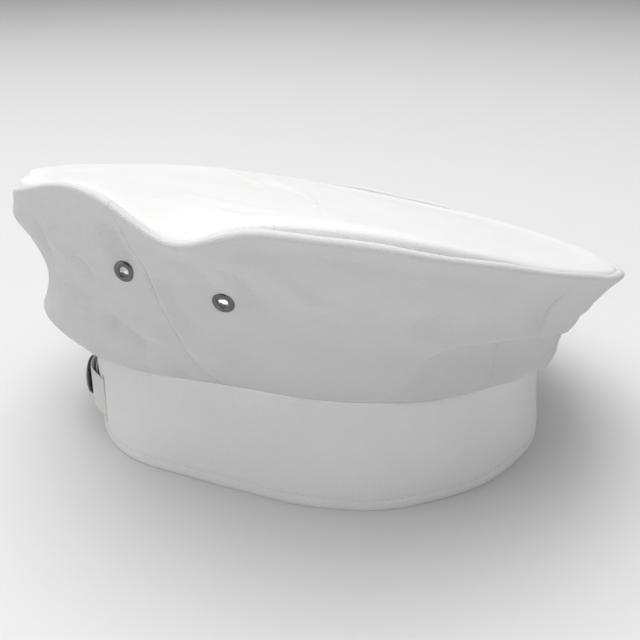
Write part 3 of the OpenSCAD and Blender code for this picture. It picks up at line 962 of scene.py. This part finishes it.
def make_binding():
    angles = np.arange(0, 360, BINDING_STEP)
    a, s = np.meshgrid(angles, np.linspace(*BINDING_SHARES, BINDING_ROWS))
    base = wall_point(a, s)
    n = grid_normals(base)
    bulge = np.sin(np.linspace(0, math.pi, BINDING_ROWS))[:, None, None] * BINDING_BULGE
    outer = base - (CLOTH + BINDING_GAP) * n
    inner = base - (CLOTH + BINDING_GAP + BINDING_T + bulge) * n
    tape = shell("rim_binding_tape", outer, inner, cloth_coords(base, angles), wrap=True)
    dress(tape, LINING, HAT, ["rim_binding"])


# ---- Straps ----
GAP = 0.2
POST_T = 0.5
FLANGE_T = 0.3
SOCKET_T = 1.3
STUD_LIFT = GAP + POST_T
STUD_FACE = STUD_LIFT + STRAP_T
SOCKET_FACE = STUD_FACE + FLANGE_T + 0.1
SNAP_LIFT = SOCKET_FACE + SOCKET_T
RISE_END = 94.5
STUD_RISE_END = 73.0
STRAP_TIP = 82.5
STUD_STRAP_END = 97.0
SNAP_ANGLE = 90.0
STUD_ANGLES = (90.0, 83.0, 76.0)
CAP_D = 19.0
CAP_H = 3.8
# The line of stitches along each edge of a tape, and the sewn end inside the slit
EDGE_STITCH = 2.2
ROOT_REACH = (-1.6, 0.35)
ROOT_STEPS = 7
SLIT_EXIT = 0.55
SMOOTHING_ROUNDS = 3


def strap_points(path, out):
    """Closed tape with rounded edges along a path of points; out is the outward side at each point."""
    half = STRAP_W / 2
    across = np.concatenate([[-half, -half + 0.15, -half + 0.5], np.linspace(-half + 1.0, half - 1.0, 13),
                             [half - 0.5, half - 0.15, half]])
    thin = np.clip(1 - np.maximum(0, np.abs(across) - (half - 0.6)) / 0.6 * 0.7, 0.3, 1)
    row_groove = 0.10 * (np.exp(-((np.abs(across) - (half - EDGE_STITCH)) / 0.45) ** 2))
    step = distance_along(path)
    up = np.array([0, 0, 1.0])
    mid = path[None] + across[:, None, None] * up
    top = mid + ((STRAP_T / 2 * thin - row_groove)[:, None])[..., None] * out[None]
    bottom = mid - ((STRAP_T / 2 * thin)[:, None])[..., None] * out[None]
    coords = np.stack([np.broadcast_to(step, mid.shape[:2]), np.broadcast_to(across[:, None], mid.shape[:2]),
                       np.zeros(mid.shape[:2])], -1)
    return top, bottom, coords


def strap_path(angles, lifts):
    p = outline(angles) + (lifts + STRAP_T / 2)[:, None] * outline_normal(angles)
    return np.concatenate([p, np.full((len(angles), 1), STRAP_Z)], 1)


def path_normals(path, like):
    d = np.gradient(path, axis=0)
    n = unit(np.stack([d[:, 1], -d[:, 0], 0 * d[:, 0]], -1))
    return n * np.sign((n * like).sum(-1))[:, None]


def outward(angles):
    return np.concatenate([outline_normal(angles), np.zeros((len(angles), 1))], 1)


def strap_shape(slit, way, end, rise_end, lift, steps):
    """Middle line of a tape and its outward side: out through its slit, then up to its lift."""
    root = np.linspace(*ROOT_REACH, ROOT_STEPS)
    at = np.array([slit])
    inside = np.concatenate([outline(at) + r * outline_normal(at) for r in root])
    inside = np.concatenate([inside, np.full((ROOT_STEPS, 1), STRAP_Z)], 1)
    angles = np.linspace(slit + way * SLIT_EXIT, end, steps)
    rise = smooth((angles - slit) / (rise_end - slit))
    path = np.concatenate([inside, strap_path(angles, GAP + (lift - GAP) * rise)])
    bend = np.arange(ROOT_STEPS - 2, ROOT_STEPS + 3)
    for _ in range(SMOOTHING_ROUNDS):
        path[bend] = (path[bend - 1] + path[bend + 1] + 2 * path[bend]) / 4
    n = path_normals(path, np.concatenate([outward(np.full(ROOT_STEPS, slit + way * 8)), outward(angles)]))
    n[:3] = n[3]
    return path, n


def edge_stitches(name, path, n):
    """Both rows of stitches along a tape, from where it leaves its slit."""
    free = slice(ROOT_STEPS + 2, None)
    rows = []
    for side, level in ((-1, "low"), (1, "high")):
        shift = np.array([0, 0, side * (STRAP_W / 2 - EDGE_STITCH)])
        edge = path[free] + shift + n[free] * (STRAP_T / 2 - 0.1)
        rows.append(stitches(name + "_" + level, edge, n[free], 2.0, 2.6, 0.15))
    return rows


def make_straps():
    """Both tapes, each from inside its slit out to its free end."""
    path, n = strap_shape(RIGHT_SLIT, -1, STRAP_TIP, RISE_END, SNAP_LIFT, 60)
    strap = shell("snap_strap_tape", *strap_points(path, n))
    dress(strap, TAPE, None, ["snap_strap", "snap_strap_root"])
    rows = edge_stitches("snap_strap_stitches", path, n)
    for row in rows:
        dress(row, THREAD, None)
    for piece in [strap] + rows:
        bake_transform(piece)

    path, n = strap_shape(LEFT_SLIT, 1, STUD_STRAP_END, STUD_RISE_END, STUD_LIFT, 70)
    strap = shell("stud_strap_tape", *strap_points(path, n), flip=True)
    dress(strap, TAPE, HAT, ["stud_strap"])
    for row in edge_stitches("stud_strap_stitches", path, n):
        dress(row, THREAD, HAT)


# ---- Press stud ----
def band_place(a, lift):
    a = np.array([float(a)])
    n = np.append(outline_normal(a)[0], 0)
    return frame_at(np.append(outline(a)[0], STRAP_Z) + lift * n, n)


def make_snap():
    """All outlines are (radius, height) in mm, from the axis outwards."""
    edge = CAP_H * 0.35
    r = CAP_D / 2
    dome_h = CAP_H - edge
    big = (r * r + dome_h * dome_h) / (2 * dome_h)
    dome = [(big * math.sin(t), CAP_H - big + big * math.cos(t))
            for t in np.linspace(math.asin((r - 0.9) / big), 0, 12)]
    profile = [(0, -STRAP_T), (2.6, -STRAP_T), (2.6, 0.05), (r - 1.2, 0.05), (r - 0.8, 0.15)]
    profile += arc(r - 0.55, 0.65, 0.55, -60, 50, 8)
    profile += [(dome[0][0] + 0.25, dome[0][1] - 0.06)] + dome
    cap = lathe("snap_cap_disc", [band_place(SNAP_ANGLE, SNAP_LIFT + STRAP_T)], profile, 96)
    dress(cap, BLACK, STRAP, ["snap_cap"])

    ring = [(2.75, 0.15), (3.0, 0), (3.6, 0.0), (3.7, 0.25), (4.3, 0.25), (4.4, 0.0)]
    ring += arc(4.65, 0.35, 0.35, -60, 60, 6) + [(4.6, 1.0), (4.2, 1.3), (3.0, 1.3), (2.75, 1.15)]
    socket = lathe("snap_socket_ring", [band_place(SNAP_ANGLE, SOCKET_FACE)], ring, 64)
    dress(socket, NICKEL, STRAP, ["snap_socket"])

    stud = [(0, 0), (5.0, 0), (5.0, 0.12), (4.75, 0.3), (4.3, 0.32), (4.1, 0.2), (2.6, 0.2), (2.0, 0.32),
            (1.7, 0.5), (1.7, 0.7), (1.95, 0.9), (2.0, 1.1), (1.9, 1.28), (1.6, 1.38), (0.9, 1.4), (0, 1.36)]
    studs = lathe("snap_studs_metal", [band_place(a, STUD_FACE) for a in STUD_ANGLES], stud, 48)
    dress(studs, NICKEL, HAT, ["snap_studs"])
    post = [(0, 0), (3.8, 0), (4.4, 0.1), (4.5, 0.3), (4.3, 0.5), (1.4, 0.5), (1.4, 1.3), (0, 1.3)]
    posts = lathe("snap_posts_metal", [band_place(a, GAP) for a in STUD_ANGLES], post, 48)
    dress(posts, NICKEL, HAT, ["snap_posts"])


# ---- Eyelets ----
EYELET_D = 8.2
EYELET_HOLE_D = 3.8


def make_eyelets():
    outer_r, hole_r = EYELET_D / 2, EYELET_HOLE_D / 2
    mid = (outer_r + hole_r) / 2
    half = (outer_r - hole_r) / 2
    top = [(mid + half * math.cos(t), 0.12 + 0.62 * math.sin(t) ** 0.8) for t in np.linspace(0, math.pi, 16)]
    flange = [(hole_r, -1.4), (hole_r + 0.35, -1.4), (hole_r + 0.35, 0.05), (outer_r - 0.1, 0.02)] + top
    places = []
    for spot in EYELET_SPOTS:
        p, n = eyelet_place(spot)
        places.append(frame_at(p, n))
    rings = lathe("eyelet_rings", places, flange, 64)
    dress(rings, DARK_NICKEL, HAT, ["eyelets"])
    washer = [(hole_r + 0.4, -CLOTH - 0.5), (outer_r - 0.4, -CLOTH - 0.45), (outer_r, -CLOTH - 0.1),
              (outer_r - 0.3, -CLOTH - 0.05), (hole_r + 0.4, -CLOTH - 0.05)][::-1]
    washers = lathe("eyelet_washer_rings", places, washer, 64)
    dress(washers, NICKEL, HAT, ["eyelet_washers"])


# ---- Label and slit patches inside the band ----
def inner_patch(name, a_mid, width, z0, z1, depth, thick, rows=16, cols=14, sag=0.0):
    half = width / outline_r(np.array([a_mid]))[0] * 90 / math.pi
    angles = np.linspace(a_mid + half, a_mid - half, cols)
    z = np.linspace(z0, z1, rows)
    a, zz = np.meshgrid(angles, z)
    lift = sag * np.sin((zz - z0) / (z1 - z0) * math.pi) ** 2
    turned = lambda count: 0.1 * np.abs(np.linspace(-1, 1, count)) ** 8
    edge = turned(cols)[None] + turned(rows)[:, None]
    front = band_at(a, zz, depth + thick + lift - edge)
    back = band_at(a, zz, depth + lift)
    coords = np.stack([np.radians(a) * MEAN_R, zz, 0 * zz], -1)
    return shell(name, front, back, coords)


LABEL_ANGLE = 45
LABEL_W = 24
LABEL_Z = (6, 40)
LABEL_T = 0.35
LABEL_SAG = 0.5
STAY_W = 9
STAY_REACH = 14.5
STAY_T = 0.6


def make_inside():
    depth = BAND_T + GAP
    label = inner_patch("care_label_satin", LABEL_ANGLE, LABEL_W, *LABEL_Z, depth, LABEL_T, 24, 20, LABEL_SAG)
    dress(label, SATIN, HAT, ["care_label"])
    low, high = STRAP_Z - STAY_REACH, STRAP_Z + STAY_REACH
    stays = [inner_patch("slit_stay_" + side, a, STAY_W, low, high, depth, STAY_T)
             for side, a in (("right", RIGHT_SLIT), ("left", LEFT_SLIT))]
    for stay in stays:
        dress(stay, LINING, HAT, ["slit_stays"])


# ---- Camera, floor and lights, in metres ----
CAMERA_AT = (-0.4142, 0, 0.2358)
CAMERA_AIM = (0, -0.0014, 0.0506)
LENS = 53.7
SENSOR = 36
FLOOR_HALF = 4000
WORLD_COLOUR = (0.95, 0.97, 1.0, 1)
WORLD_STRENGTH = 0.06
LAMP_AIM = (0, 0, 0.07)
# Lamps: name, place, size, watts
LAMPS = (
    ("key_light", (0.1, 0.55, 2.0), 2.2, 42),
    ("top_light", (0.0, -0.3, 2.4), 2.8, 40),
    ("front_light", (-1.6, -0.9, 0.70), 1.3, 7.0),
    ("side_light", (-0.8, 1.6, 0.5), 1.0, 6.0),
)
GLOW_AT = (0, 0, 0.085)
GLOW_SIZE = 0.03
GLOW_WATTS = 0.35


def add_lamp(name, kind, power, place):
    lamp = bpy.data.objects.new(name, bpy.data.lights.new(name, kind))
    lamp.data.energy = power
    lamp.location = place
    bpy.context.scene.collection.objects.link(lamp)
    return lamp


def make_stage():
    camera = bpy.data.objects.new("camera", bpy.data.cameras.new("camera"))
    bpy.context.scene.collection.objects.link(camera)
    camera.location = CAMERA_AT
    camera.data.lens = LENS
    camera.data.sensor_width = SENSOR
    camera.rotation_euler = (Vector(CAMERA_AIM) - camera.location).to_track_quat("-Z", "Y").to_euler()
    camera.data.clip_start, camera.data.clip_end = 0.01, 30
    bpy.context.scene.camera = camera

    corners = [(-FLOOR_HALF, -FLOOR_HALF, 0), (FLOOR_HALF, -FLOOR_HALF, 0),
               (FLOOR_HALF, FLOOR_HALF, 0), (-FLOOR_HALF, FLOOR_HALF, 0)]
    floor = finish_mesh("floor", np.array(corners, float), [(0, 1, 2, 3)], flat=True)
    material, tree, bsdf = shader("pale_floor")
    speckle = node(tree, "ShaderNodeTexNoise", in_Scale=6.0, in_Detail=2.0)
    tree.links.new(colour_between(tree, speckle.outputs["Fac"], (0.66, 0.66, 0.66), (0.68, 0.68, 0.68)),
                   bsdf.inputs["Base Color"])
    bsdf.inputs["Roughness"].default_value = 0.9
    floor.data.materials.append(material)

    world = bpy.data.worlds.new("studio")
    bpy.context.scene.world = world
    world.use_nodes = True
    background = world.node_tree.nodes["Background"]
    background.inputs["Color"].default_value = WORLD_COLOUR
    background.inputs["Strength"].default_value = WORLD_STRENGTH

    for name, place, size, power in LAMPS:
        lamp = add_lamp(name, "AREA", power, place)
        lamp.data.size = size
        lamp.rotation_euler = (Vector(LAMP_AIM) - Vector(place)).to_track_quat("-Z", "Y").to_euler()
    # The light that thin white cloth lets through into the crown
    glow = add_lamp("inside_glow", "POINT", GLOW_WATTS, GLOW_AT)
    glow.data.shadow_soft_size = GLOW_SIZE
    bpy.context.scene.view_settings.view_transform = "Standard"


make_stage()
simulate_crown()
for key in PANEL_SEAMS:
    make_panel(key)
make_tip()
make_band()
make_binding()
make_straps()
make_snap()
make_eyelets()
make_inside()
